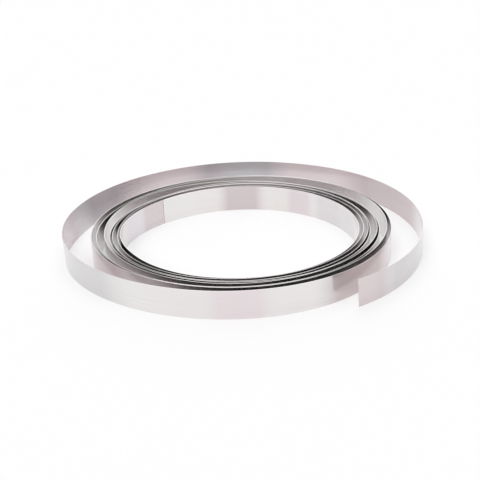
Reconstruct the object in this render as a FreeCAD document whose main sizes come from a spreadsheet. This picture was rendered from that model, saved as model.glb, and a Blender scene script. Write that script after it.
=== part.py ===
import FreeCAD, Part
import math
import os

# Nickel strip, 0.15 x 8 mm, wound on edge into a loose flat coil with its outer end sprung free.
# +Z is up.  The origin is the centre of the bore, on the plane the strip's lower edge stands on.
# The outer end is cut square and lies to the front (-Y) and right (+X).

doc = FreeCAD.newDocument("nickel_strip")

# ---- sizes, millimetres and degrees -------------------------------------------------------------
sheet = doc.addObject("Spreadsheet::Sheet", "Sizes")
SIZES = [
    ("strip_width", 8.0),        # height of the coil: the strip stands on its edge
    ("strip_thickness", 0.15),
    ("bore_radius", 34.0),       # inner face of the innermost turn
    ("bore_arc", 280.0),         # part of the innermost turn that is a true circle
    ("turn_gap", 1.0),           # clear gap that the gaps between close turns are shares of
    ("loop_gap", 14.65),         # clear gap behind the coil, to the loose outer turn
    ("free_end_angle", 187.4),   # how far the last, part turn runs past the back left
]
for row, (alias, value) in enumerate(SIZES, start=1):
    sheet.set("A%d" % row, alias)
    sheet.set("B%d" % row, str(value))
    sheet.setAlias("B%d" % row, alias)
doc.recompute()

width = float(sheet.strip_width)
thickness = float(sheet.strip_thickness)
bore_radius = float(sheet.bore_radius)
bore_arc = float(sheet.bore_arc)
turn_gap = float(sheet.turn_gap)
loop_gap = float(sheet.loop_gap)
free_end_angle = float(sheet.free_end_angle)

# ---- how the turns lie --------------------------------------------------------------------------
# The strip is followed from its inner end outwards.  "Travel" is the angle run through since the
# inner end, which is at the back left; from there it goes back, right, front and left again.
# Turns touch in places and part in crescents elsewhere.  Each row is one turn's clear gap to the
# turn inside it, by eighths of a turn, as a share of turn_gap: back left, back, back right,
# right, front right, front, front left, left.
FIRST_TURN_LEFT = 1.1            # the innermost turn stands this far off its circle at the left
CLOSE_TURNS = [
    (0.25, 0.50, 1.17, 1.27, 0.37, 0.27, 1.07, 0.45),
    (1.57, 2.05, 1.65, 1.15, 1.25, 1.25, 0.95, 1.35),
    (0.28, 0.26, 0.22, 0.25, 1.05, 0.45, 0.35, 0.55),
    (0.25, 1.15, 1.15, 2.05, 0.25, 0.65, 0.75, 1.65),
    (4.50, 1.05, 0.27, 0.27, 1.65, 1.70, 2.45, 1.95),
    (0.65, 4.10, 5.50, 2.45, 0.40, 0.24, 0.26, 1.55),
]
LAST_CLOSE_TURN = (1.75, 0.55, 0.20, 0.95, 1.90, 1.75)
# From the front the strip springs away: front left, left, back left, back, back right and right,
# as a share of loop_gap, and then its cut end.
LOOSE_TURN = (0.262, 0.577, 0.877, 1.000, 0.843, 0.632)
FREE_END_SHARE = 0.372

EIGHTH = 45.0
FULL = 360.0
INNER_END_ANGLE = 135.0          # where the inner end stands, counter-clockwise from the right


def smooth_curve(stations):
    """Radius as a smooth function of travel through (travel, radius) stations.

    A cubic spline: level where it leaves the bore circle, and free of bending at the cut end.
    """
    n = len(stations)
    span = [stations[i + 1][0] - stations[i][0] for i in range(n - 1)]
    slope = [(stations[i + 1][1] - stations[i][1]) / span[i] for i in range(n - 1)]
    diagonal = [2.0 * span[0]]
    right_side = [6.0 * slope[0]]
    for i in range(1, n - 1):
        factor = span[i - 1] / diagonal[i - 1]
        diagonal.append(2.0 * (span[i - 1] + span[i]) - factor * span[i - 1])
        right_side.append(6.0 * (slope[i] - slope[i - 1]) - factor * right_side[i - 1])
    bend = [0.0] * n
    for i in range(n - 2, -1, -1):
        bend[i] = (right_side[i] - span[i] * bend[i + 1]) / diagonal[i]

    def radius(travel):
        i = 0
        while i < n - 2 and travel > stations[i + 1][0]:
            i += 1
        a = stations[i + 1][0] - travel
        b = travel - stations[i][0]
        d = span[i]
        curve = (bend[i] * a ** 3 + bend[i + 1] * b ** 3) / (6.0 * d)
        start = (stations[i][1] / d - bend[i] * d / 6.0) * a
        end = (stations[i + 1][1] / d - bend[i + 1] * d / 6.0) * b
        return curve + start + end

    return radius


# Radius of the middle of the strip's thickness, eighth by eighth.
middle = bore_radius + thickness / 2.0
radii = [middle] * 7 + [middle + FIRST_TURN_LEFT * turn_gap]
gaps = [share * turn_gap for shares in CLOSE_TURNS for share in shares]
gaps += [share * turn_gap for share in LAST_CLOSE_TURN]
gaps += [share * loop_gap for share in LOOSE_TURN]
for gap in gaps:
    radii.append(radii[-8] + thickness + gap)

bore_eighths = int(bore_arc / EIGHTH) + 1
stations = [(bore_arc, middle)]
stations += [(i * EIGHTH, radii[i]) for i in range(bore_eighths, len(radii))]
total_travel = (len(CLOSE_TURNS) + 2) * FULL + free_end_angle
turn_inside = smooth_curve(stations)
end_radius = turn_inside(total_travel - FULL) + thickness + FREE_END_SHARE * loop_gap
stations.append((total_travel, end_radius))
middle_radius = smooth_curve(stations)


def plan_direction(travel):
    """Unit vector from the bore's centre towards the strip, seen from above."""
    theta = math.radians(INNER_END_ANGLE - travel)
    return FreeCAD.Vector(math.cos(theta), math.sin(theta), 0)


def turned_right(vector):
    return FreeCAD.Vector(vector.y, -vector.x, 0)


def middle_point(travel):
    return plan_direction(travel) * middle_radius(travel)


def heading(travel):
    """Unit vector along the strip, in the direction of travel."""
    growth = (middle_radius(travel + 0.01) - middle_radius(travel - 0.01)) / math.radians(0.02)
    out = plan_direction(travel)
    along = turned_right(out) * middle_radius(travel) + out * growth
    return along.normalize()


def arc_centre(point, tangent, other):
    """Centre of the circle that runs through point along tangent, and through other."""
    side = turned_right(tangent)
    chord = other - point
    return point + side * (chord.dot(chord) / (2.0 * side.dot(chord)))


def two_arcs(start, start_heading, end, end_heading):
    """Two circular arcs, smooth where they meet, from start to end: (from, to, centre) of each."""
    chord = end - start
    both = start_heading + end_heading
    spread = 2.0 * (1.0 - start_heading.dot(end_heading))
    reach = chord.dot(both)
    arm = (math.sqrt(reach * reach + spread * chord.dot(chord)) - reach) / spread
    joint = (start + start_heading * arm + end - end_heading * arm) * 0.5
    first = (start, joint, arc_centre(start, start_heading, joint))
    second = (joint, end, arc_centre(end, end_heading, joint))
    return [first, second]


# The middle of the strip as a chain of arcs: the bore circle, then two to every eighth of a turn.
bore_end = plan_direction(bore_arc) * middle
bore_end_heading = turned_right(plan_direction(bore_arc))
pieces = int(round((total_travel - bore_arc) / EIGHTH))
chain = []
previous = (bore_end, bore_end_heading)
for i in range(1, pieces + 1):
    travel = bore_arc + (total_travel - bore_arc) * i / pieces
    following = (middle_point(travel), heading(travel))
    chain += two_arcs(previous[0], previous[1], following[0], following[1])
    previous = following


def shifted(point, centre, side):
    """A point moved by half the strip's thickness: side -1 is bore side, +1 is outside."""
    outward = (point - centre).normalize()
    return point + outward * (side * thickness / 2.0)


def face_edges(side):
    """One long face of the strip in plan, from the inner end to the outer."""
    radius = middle + side * thickness / 2.0
    bore = Part.Arc(plan_direction(0) * radius, plan_direction(bore_arc / 2.0) * radius,
                    plan_direction(bore_arc) * radius)
    edges = [bore.toShape()]
    for start, end, centre in chain:
        halfway = centre + ((start + end) * 0.5 - centre).normalize() * (start - centre).Length
        arc = Part.Arc(shifted(start, centre, side), shifted(halfway, centre, side),
                       shifted(end, centre, side))
        edges.append(arc.toShape())
    return edges


inward_face = face_edges(-1)
outward_face = face_edges(1)
inner_end = Part.makeLine(plan_direction(0) * (middle - thickness / 2.0),
                          plan_direction(0) * (middle + thickness / 2.0))
last_start, last_end, last_centre = chain[-1]
outer_end = Part.makeLine(shifted(last_end, last_centre, -1), shifted(last_end, last_centre, 1))

# ---- the strip ----------------------------------------------------------------------------------
plan = doc.addObject("Part::Feature", "StripPlan")
plan.Label = "strip_plan"
plan.Shape = Part.Face(Part.Wire(inward_face + [outer_end] + outward_face[::-1] + [inner_end]))

strip = doc.addObject("Part::Extrusion", "NickelStrip")
strip.Label = "nickel_strip"
strip.Base = plan
strip.DirMode = "Custom"
strip.Dir = FreeCAD.Vector(0, 0, 1)
strip.Solid = True
strip.setExpression("LengthFwd", "Sizes.strip_width")
strip.Placement = FreeCAD.Placement(FreeCAD.Vector(0, 0, 0), FreeCAD.Rotation())

doc.recompute()

# ---- checks and output --------------------------------------------------------------------------
for obj in doc.Objects:
    if "Invalid" in obj.State or "Error" in obj.State:
        raise RuntimeError("%s did not recompute: %s" % (obj.Label, obj.State))

NODES = [strip]
os.makedirs("parts", exist_ok=True)
for node in NODES:
    if node.Shape.isNull() or not node.Shape.isValid() or len(node.Shape.Solids) != 1:
        raise RuntimeError("%s is not one sound solid" % node.Label)
    node.Shape.exportStep("parts/%s.step" % node.Label)
    box = node.Shape.BoundBox
    print(node.Label, "volume", round(node.Shape.Volume, 1), "length",
          round(node.Shape.Volume / (width * thickness), 1), "size",
          round(box.XLength, 2), round(box.YLength, 2), round(box.ZLength, 2))
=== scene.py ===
import math

import bmesh
import bpy
from mathutils import Matrix, Vector


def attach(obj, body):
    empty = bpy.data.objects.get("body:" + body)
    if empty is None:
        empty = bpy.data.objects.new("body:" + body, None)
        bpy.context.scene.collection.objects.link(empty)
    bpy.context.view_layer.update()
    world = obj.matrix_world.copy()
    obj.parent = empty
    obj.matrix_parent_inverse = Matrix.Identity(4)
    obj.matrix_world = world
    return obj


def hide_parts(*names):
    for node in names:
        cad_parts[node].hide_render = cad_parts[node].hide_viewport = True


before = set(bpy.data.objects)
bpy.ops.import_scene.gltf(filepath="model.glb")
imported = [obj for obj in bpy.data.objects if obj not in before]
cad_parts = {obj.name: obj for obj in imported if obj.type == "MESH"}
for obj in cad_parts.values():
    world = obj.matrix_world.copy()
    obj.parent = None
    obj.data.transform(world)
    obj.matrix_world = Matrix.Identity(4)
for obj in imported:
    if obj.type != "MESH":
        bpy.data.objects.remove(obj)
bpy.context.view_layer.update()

MM = 0.001

# ---- the strip's plan, as the CAD part lays it out (millimetres, degrees of travel) -------------
THICKNESS = 0.15
BORE_RADIUS = 34.0
BORE_ARC = 280.0
TURN_GAP = 1.0
LOOP_GAP = 14.65
FREE_END_ANGLE = 187.4
FIRST_TURN_LEFT = 1.1
CLOSE_TURNS = [
    (0.25, 0.50, 1.17, 1.27, 0.37, 0.27, 1.07, 0.45),
    (1.57, 2.05, 1.65, 1.15, 1.25, 1.25, 0.95, 1.35),
    (0.28, 0.26, 0.22, 0.25, 1.05, 0.45, 0.35, 0.55),
    (0.25, 1.15, 1.15, 2.05, 0.25, 0.65, 0.75, 1.65),
    (4.50, 1.05, 0.27, 0.27, 1.65, 1.70, 2.45, 1.95),
    (0.65, 4.10, 5.50, 2.45, 0.40, 0.24, 0.26, 1.55),
]
LAST_CLOSE_TURN = (1.75, 0.55, 0.20, 0.95, 1.90, 1.75)
LOOSE_TURN = (0.262, 0.577, 0.877, 1.000, 0.843, 0.632)
FREE_END_SHARE = 0.372
EIGHTH = 45.0
FULL = 360.0
INNER_END_ANGLE = 135.0
# travel at which the loose turn passes the back left, and at the cut end
LOOSE = (len(CLOSE_TURNS) + 2) * FULL
TOTAL = LOOSE + FREE_END_ANGLE


def smooth_curve(stations):
    """Radius as a smooth function of travel: the cubic spline of the CAD part."""
    n = len(stations)
    span = [stations[i + 1][0] - stations[i][0] for i in range(n - 1)]
    slope = [(stations[i + 1][1] - stations[i][1]) / span[i] for i in range(n - 1)]
    diagonal = [2.0 * span[0]]
    right_side = [6.0 * slope[0]]
    for i in range(1, n - 1):
        factor = span[i - 1] / diagonal[i - 1]
        diagonal.append(2.0 * (span[i - 1] + span[i]) - factor * span[i - 1])
        right_side.append(6.0 * (slope[i] - slope[i - 1]) - factor * right_side[i - 1])
    bend = [0.0] * n
    for i in range(n - 2, -1, -1):
        bend[i] = (right_side[i] - span[i] * bend[i + 1]) / diagonal[i]

    def radius(travel):
        i = 0
        while i < n - 2 and travel > stations[i + 1][0]:
            i += 1
        a = stations[i + 1][0] - travel
        b = travel - stations[i][0]
        d = span[i]
        curve = (bend[i] * a ** 3 + bend[i + 1] * b ** 3) / (6.0 * d)
        start = (stations[i][1] / d - bend[i] * d / 6.0) * a
        end = (stations[i + 1][1] / d - bend[i + 1] * d / 6.0) * b
        return curve + start + end

    return radius


def plan_curve():
    """Radius of the middle of the strip's thickness at any travel."""
    middle = BORE_RADIUS + THICKNESS / 2.0
    radii = [middle] * 7 + [middle + FIRST_TURN_LEFT * TURN_GAP]
    gaps = [share * TURN_GAP for shares in CLOSE_TURNS for share in shares]
    gaps += [share * TURN_GAP for share in LAST_CLOSE_TURN]
    gaps += [share * LOOP_GAP for share in LOOSE_TURN]
    for gap in gaps:
        radii.append(radii[-8] + THICKNESS + gap)
    first = int(BORE_ARC / EIGHTH) + 1
    stations = [(BORE_ARC, middle)]
    stations += [(i * EIGHTH, radii[i]) for i in range(first, len(radii))]
    inside = smooth_curve(stations)
    stations.append((TOTAL, inside(TOTAL - FULL) + THICKNESS + FREE_END_SHARE * LOOP_GAP))
    spiral = smooth_curve(stations)

    def radius(travel):
        return middle if travel <= BORE_ARC else spiral(travel)

    return radius


radius_at = plan_curve()


def plan_point(travel):
    theta = math.radians(INNER_END_ANGLE - travel)
    r = radius_at(travel)
    return Vector((r * math.cos(theta), r * math.sin(theta), 0.0))


def bump(travel, centre, reach):
    """1 at the centre, falling smoothly to 0 at reach either side."""
    d = abs(travel - centre) / reach
    return 0.0 if d >= 1.0 else 0.5 + 0.5 * math.cos(math.pi * d)


# The loose turn leans out at the back left: its lower edge stands inside its upper edge there.
LEAN = 2.2
LEAN_AT = LOOSE - 17.0
LEAN_REACH = 42.0

# Long soft bands painted into the sheet's colour, on its bore side and on its outer side.  They
# are
# painted reflections of a room that isn't modelled, and painted shade:
# (travel, reach, how much is lost of red, green and blue).
INNER_PAINTED_LIGHT = [
    (46.0, 15.0, (0.21, 0.27, 0.26)),
    (26.0, 9.0, (0.00, 0.02, 0.01)),
    (67.0, 4.0, (0.02, 0.01, 0.03)),
    (79.0, 10.0, (0.09, 0.13, 0.11)),
    (100.0, 14.0, (0.09, 0.10, 0.08)),
    (120.0, 14.0, (0.08, 0.07, 0.06)),
    (FULL - 7.0, 12.0, (0.15, 0.20, 0.18)),
    (FULL - 24.0, 12.0, (0.06, 0.07, 0.04)),
    (LOOSE - 40.0, 20.0, (0.15, 0.20, 0.18)),
    (LOOSE - 14.0, 32.0, (0.14, 0.15, 0.14)),
    (LOOSE - 8.0, 13.0, (0.18, 0.19, 0.17)),
    (LOOSE + 20.0, 30.0, (0.10, 0.17, 0.15)),
    (LOOSE + 44.5, 20.0, (0.30, 0.28, 0.26)),
    (LOOSE + 74.0, 28.0, (0.06, 0.12, 0.10)),
    (LOOSE + 105.0, 28.0, (0.22, 0.28, 0.26)),
]
OUTER_PAINTED_LIGHT = [
    (LOOSE - 66.0, 30.0, (0.16, 0.14, 0.14)),
    (LOOSE - 133.0, 14.0, (0.04, 0.08, 0.06)),
    (LOOSE - 183.0, 24.0, (0.24, 0.31, 0.30)),
    (LOOSE - 220.0, 34.0, (0.14, 0.20, 0.18)),
    (LOOSE - 424.0, 30.0, (0.20, 0.28, 0.26)),
    (LOOSE + 156.0, 28.0, (0.18, 0.18, 0.17)),
    (TOTAL - 2.0, 16.0, (0.14, 0.20, 0.19)),
]
# Handled, less shiny stretches: (travel, reach, roughness added).
DULL_AT = [(LEAN_AT, 60.0, 0.16)]
DULL_AT += [(EIGHTH + FULL * turn, 95.0, 0.22) for turn in range(1, 8)]

# How far the last stretch of the inner end is pressed out against the next turn, and its reach.
PRESS_OUT = 0.22
PRESS_REACH = 14.0


def band(travel, centre, reach):
    """Like bump, with a flat top half as wide as the band."""
    return min(1.0, 2.0 * bump(travel, centre, reach))


def painted_light_at(travel, painted_light_bands):
    """Red, green and blue left by the bands of painted reflection and shade, and the roughness
    added, at a travel.
    """
    painted_light = [1.0, 1.0, 1.0]
    for centre, reach, loss in painted_light_bands:
        k = band(travel, centre, reach)
        for c in range(3):
            painted_light[c] *= 1.0 - loss[c] * k
    dull = sum(more * bump(travel, centre, reach) for centre, reach, more in DULL_AT)
    return painted_light + [dull]


def visual_point(travel):
    """The plan, with the inner end pressed out."""
    return plan_point(travel) * (1.0 + PRESS_OUT * bump(travel, 0.0, PRESS_REACH) / BORE_RADIUS)


# ---- the strip as one closed mesh ---------------------------------------------------------------
WIDTH = 8.0
HALF = THICKNESS / 2.0
# two close tones of nickel, the second a little pinker
NEUTRAL = (0.84, 0.826, 0.821, 1.0)
PINK = (0.834, 0.788, 0.794, 1.0)
EDGE = 0.045                      # how far the slit edges are rounded over
HOLD = EDGE * 3.0                 # rows that keep the walls' shading flat up to the edges
NEAR = HALF * 0.55                # a point part of the way round an edge: across,
TIP = EDGE * 0.2                  # and short of its top
# (across the thickness, up the width): up the bore side, over, and down the outside
SECTION = [
    (-HALF, EDGE), (-HALF, HOLD), (-HALF, WIDTH * 0.5), (-HALF, WIDTH - HOLD),
    (-HALF, WIDTH - EDGE), (-NEAR, WIDTH - TIP), (0.0, WIDTH), (NEAR, WIDTH - TIP),
    (HALF, WIDTH - EDGE), (HALF, WIDTH - HOLD), (HALF, WIDTH * 0.5), (HALF, HOLD),
    (HALF, EDGE), (NEAR, TIP), (0.0, 0.0), (-NEAR, TIP),
]
STEPS = 2800                      # sections along the strip
LOOK_AHEAD = 0.05                 # degrees either side, over which the heading is taken
SHARP = math.radians(40)          # edges sharper than this are not smoothed
CUT_SLANT = 0.6                   # the shears left the cut end a little out of square


def build_strip():
    """The section run along the plan, closed at both ends, with its painted reflection and shade,
    and its UV in metres.
    """
    verts, faces, along, painted_lights = [], [], [], []
    run = 0.0
    last = visual_point(0.0)
    n = len(SECTION)
    for i in range(STEPS + 1):
        travel = TOTAL * i / STEPS
        here = visual_point(travel)
        run += (here - last).length
        last = here
        ahead = visual_point(min(travel + LOOK_AHEAD, TOTAL))
        ahead = ahead - visual_point(max(travel - LOOK_AHEAD, 0.0))
        ahead.normalize()
        outward = Vector((-ahead.y, ahead.x, 0.0))
        lean = LEAN * bump(travel, LEAN_AT, LEAN_REACH)
        slant = CUT_SLANT if i == STEPS else 0.0
        # painted reflection and shade for the bore side (-1) and the outer side (1), with
        # roughness added
        painted_light_here = {-1: painted_light_at(travel, INNER_PAINTED_LIGHT), 1: painted_light_at(travel, OUTER_PAINTED_LIGHT)}
        for across, up in SECTION:
            p = here + outward * (across - lean * (1.0 - up / WIDTH))
            p -= ahead * slant * (1.0 - up / WIDTH)
            verts.append((p.x * MM, p.y * MM, up * MM))
            along.append((run, up))
            painted_lights.append(painted_light_here[1 if across > 0.0 else -1])
        if i:
            a, b = (i - 1) * n, i * n
            for k in range(n):
                m = (k + 1) % n
                faces.append((a + k, a + m, b + m, b + k))
    faces.append(tuple(range(n - 1, -1, -1)))
    faces.append(tuple(range(STEPS * n, STEPS * n + n)))
    mesh = bpy.data.meshes.new("nickel_strip_mesh")
    mesh.from_pydata(verts, [], faces)
    mesh.update()
    # painted reflection and shade in the colour, the roughness added in the alpha
    stored = mesh.color_attributes.new(name="painted_light", type="FLOAT_COLOR", domain="POINT")
    for i, painted_light in enumerate(painted_lights):
        stored.data[i].color = painted_light
    uv = mesh.uv_layers.new(name="along")
    for loop in mesh.loops:
        s, t = along[loop.vertex_index]
        uv.data[loop.index].uv = (s * MM, t * MM)
    bm = bmesh.new()
    bm.from_mesh(mesh)
    bmesh.ops.recalc_face_normals(bm, faces=bm.faces)
    for f in bm.faces:
        f.smooth = True
    for e in bm.edges:
        if len(e.link_faces) == 2 and e.calc_face_angle(0.0) > SHARP:
            e.smooth = False
    bm.to_mesh(mesh)
    bm.free()
    obj = bpy.data.objects.new("strip", mesh)
    bpy.context.collection.objects.link(obj)
    return obj


strip = build_strip()
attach(strip, "root")
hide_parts("nickel_strip")


# ---- nickel -------------------------------------------------------------------------------------
def node(nt, kind, **values):
    """A new node, with these settings."""
    made = nt.nodes.new(kind)
    for name, value in values.items():
        setattr(made, name, value)
    return made


def math_node(nt, operation, *inputs):
    """A math node of numbers and of other nodes' outputs; its own output is returned."""
    made = node(nt, "ShaderNodeMath", operation=operation)
    for slot, value in enumerate(inputs):
        if isinstance(value, float):
            made.inputs[slot].default_value = value
        else:
            nt.links.new(value, made.inputs[slot])
    return made.outputs[0]


def noise(nt, uv, along, across, detail, low, high):
    """Noise in periods per metre along and across the strip, remapped to low..high."""
    place = node(nt, "ShaderNodeMapping")
    place.inputs["Scale"].default_value = (along, across, 1.0)
    nt.links.new(uv.outputs["UV"], place.inputs["Vector"])
    grain = node(nt, "ShaderNodeTexNoise")
    grain.inputs["Scale"].default_value = 1.0
    grain.inputs["Detail"].default_value = detail
    nt.links.new(place.outputs["Vector"], grain.inputs["Vector"])
    span = node(nt, "ShaderNodeMapRange")
    span.inputs["From Min"].default_value = 0.3
    span.inputs["From Max"].default_value = 0.7
    span.inputs["To Min"].default_value = low
    span.inputs["To Max"].default_value = high
    nt.links.new(grain.outputs["Fac"], span.inputs["Value"])
    return span.outputs["Result"]


def relief(nt, height, strength, distance):
    made = node(nt, "ShaderNodeBump")
    made.inputs["Strength"].default_value = strength
    made.inputs["Distance"].default_value = distance
    nt.links.new(height, made.inputs["Height"])
    return made


def nickel_material():
    mat = bpy.data.materials.new("nickel")
    mat.use_nodes = True
    nt = mat.node_tree
    nt.nodes.clear()
    out = nt.nodes.new("ShaderNodeOutputMaterial")
    bsdf = nt.nodes.new("ShaderNodeBsdfPrincipled")
    nt.links.new(bsdf.outputs[0], out.inputs[0])
    uv = node(nt, "ShaderNodeUVMap", uv_map="along")
    # the painted reflection and shade bands, with the added roughness in their alpha
    painted_light = node(nt, "ShaderNodeVertexColor", layer_name="painted_light")

    # colour: soft patches between a neutral and a pinker nickel, fine rolling lines, and the bands
    # of painted reflection and painted shade
    patch = node(nt, "ShaderNodeMix", data_type="RGBA")
    patches = noise(nt, uv, along=38.0, across=30.0, detail=2.0, low=0.0, high=1.0)
    nt.links.new(patches, patch.inputs["Factor"])
    patch.inputs["A"].default_value = NEUTRAL
    patch.inputs["B"].default_value = PINK
    lines = node(nt, "ShaderNodeMix", data_type="RGBA", blend_type="MULTIPLY")
    lines.inputs["Factor"].default_value = 1.0
    nt.links.new(patch.outputs["Result"], lines.inputs["A"])
    shade = node(nt, "ShaderNodeCombineColor")
    grain = noise(nt, uv, along=25.0, across=2600.0, detail=3.0, low=0.965, high=1.0)
    for name in ("Red", "Green", "Blue"):
        nt.links.new(grain, shade.inputs[name])
    nt.links.new(shade.outputs["Color"], lines.inputs["B"])
    # the colour multiplied by the painted reflection and shade bands
    painted_light_bands = node(nt, "ShaderNodeMix", data_type="RGBA", blend_type="MULTIPLY")
    painted_light_bands.inputs["Factor"].default_value = 1.0
    nt.links.new(lines.outputs["Result"], painted_light_bands.inputs["A"])
    nt.links.new(painted_light.outputs["Color"], painted_light_bands.inputs["B"])
    nt.links.new(painted_light_bands.outputs["Result"], bsdf.inputs["Base Color"])
    bsdf.inputs["Metallic"].default_value = 1.0

    # roughness: a clean rolled face with slightly duller streaks and handled patches
    streaks = noise(nt, uv, along=60.0, across=1500.0, detail=3.0, low=0.10, high=0.17)
    smudges = noise(nt, uv, along=90.0, across=160.0, detail=2.0, low=0.0, high=0.05)
    dull = math_node(nt, "ADD", streaks, smudges)
    nt.links.new(math_node(nt, "ADD", dull, painted_light.outputs["Alpha"]), bsdf.inputs["Roughness"])

    # relief: rolling lines a few microns deep, and a long faint ripple from winding
    fine = noise(nt, uv, along=40.0, across=3200.0, detail=3.0, low=0.0, high=1.0)
    fine = relief(nt, fine, strength=0.25, distance=0.000004)
    ripple = noise(nt, uv, along=70.0, across=45.0, detail=1.0, low=0.0, high=1.0)
    ripple = relief(nt, ripple, strength=0.6, distance=0.00006)
    nt.links.new(fine.outputs["Normal"], ripple.inputs["Normal"])
    nt.links.new(ripple.outputs["Normal"], bsdf.inputs["Normal"])
    return mat


strip.data.materials.append(nickel_material())

# ---- stage --------------------------------------------------------------------------------------
PAPER = 0.6                       # the floor's own colour
FLOOR_LIFT = 0.40                 # with the light it takes, this brings open floor to 1, white
FLOOR_SIZE = 4.0
WORLD_LEVEL = 0.38                # the world as a light,
MIRRORED_LEVEL = 0.75             # where metal shows it,
SEEN_LEVEL = 1.0                  # and where it is looked at


def floor_material():
    """Pale paper that takes the shadow, lifted so that its open parts come to 1."""
    mat = bpy.data.materials.new("floor_white")
    mat.use_nodes = True
    nt = mat.node_tree
    nt.nodes.clear()
    out = node(nt, "ShaderNodeOutputMaterial")
    paper = node(nt, "ShaderNodeBsdfDiffuse")
    paper.inputs[0].default_value = (PAPER, PAPER, PAPER, 1)
    lift = node(nt, "ShaderNodeEmission")
    lift.inputs["Color"].default_value = (1, 1, 1, 1)
    path = node(nt, "ShaderNodeLightPath")
    # looked at straight on, or mirrored in the metal
    seen = math_node(nt, "ADD", path.outputs["Is Camera Ray"], path.outputs["Is Glossy Ray"])
    nt.links.new(math_node(nt, "MULTIPLY", seen, FLOOR_LIFT), lift.inputs["Strength"])
    both = node(nt, "ShaderNodeAddShader")
    nt.links.new(paper.outputs[0], both.inputs[0])
    nt.links.new(lift.outputs[0], both.inputs[1])
    nt.links.new(both.outputs[0], out.inputs[0])
    return mat


def light_world():
    """A plain world, at one level as a light and at others where it is mirrored or seen."""
    world = bpy.data.worlds.new("studio")
    bpy.context.scene.world = world
    world.use_nodes = True
    sky = world.node_tree
    path = node(sky, "ShaderNodeLightPath")
    level = math_node(sky, "MULTIPLY_ADD", path.outputs["Is Glossy Ray"],
                      MIRRORED_LEVEL - WORLD_LEVEL, WORLD_LEVEL)
    level = math_node(sky, "MULTIPLY_ADD", path.outputs["Is Camera Ray"],
                      SEEN_LEVEL - WORLD_LEVEL, level)
    sky.nodes["Background"].inputs[0].default_value = (1, 1, 1, 1)
    sky.links.new(level, sky.nodes["Background"].inputs[1])


def sun(name, level, spread, height, sideways, towards_back):
    """A sun of this level and spread, height degrees up, to the front (-1) or the back (1)."""
    data = bpy.data.lights.new(name, "SUN")
    data.energy = level
    data.angle = math.radians(spread)
    obj = bpy.data.objects.new(name, data)
    bpy.context.collection.objects.link(obj)
    up = math.radians(height)
    towards = Vector((sideways, towards_back * math.cos(up), math.sin(up)))
    obj.matrix_world = towards.to_track_quat("Z", "Y").to_matrix().to_4x4()


bpy.ops.mesh.primitive_plane_add(size=FLOOR_SIZE, location=(0, 0, 0))
floor = bpy.context.object
floor.name = "floor"
floor.data.materials.append(floor_material())
light_world()
# a broad soft light from the front; a wider, weaker one from behind, which picks out the strip's
# upper edge; and a wide one overhead, which reaches down between the turns
sun("front_light", level=1.08, spread=30.0, height=38.0, sideways=-0.25, towards_back=-1.0)
sun("back_light", level=0.67, spread=60.0, height=32.0, sideways=0.1, towards_back=1.0)
sun("top_light", level=0.92, spread=70.0, height=90.0, sideways=0.0, towards_back=0.0)

# ---- camera -------------------------------------------------------------------------------------
ELEVATION = math.radians(23.37)
DISTANCE = 260.4 * MM
AIM = Vector((-0.44 * MM, -0.50 * MM, 4.0 * MM))
ROLL = math.radians(-2.14)
LENS = 66.8
SENSOR = 36.0
back = Vector((0.0, -math.cos(ELEVATION), math.sin(ELEVATION)))
cam_data = bpy.data.cameras.new("camera")
cam_data.lens = LENS
cam_data.sensor_width = SENSOR
cam = bpy.data.objects.new("camera", cam_data)
bpy.context.collection.objects.link(cam)
rot = (-back).to_track_quat("-Z", "Y").to_matrix().to_4x4()
cam.matrix_world = Matrix.Translation(AIM + back * DISTANCE) @ rot @ Matrix.Rotation(ROLL, 4, "Z")
cam_data.clip_start = 0.01
cam_data.clip_end = 20.0
bpy.context.scene.camera = cam

bpy.context.scene.view_settings.view_transform = "Standard"
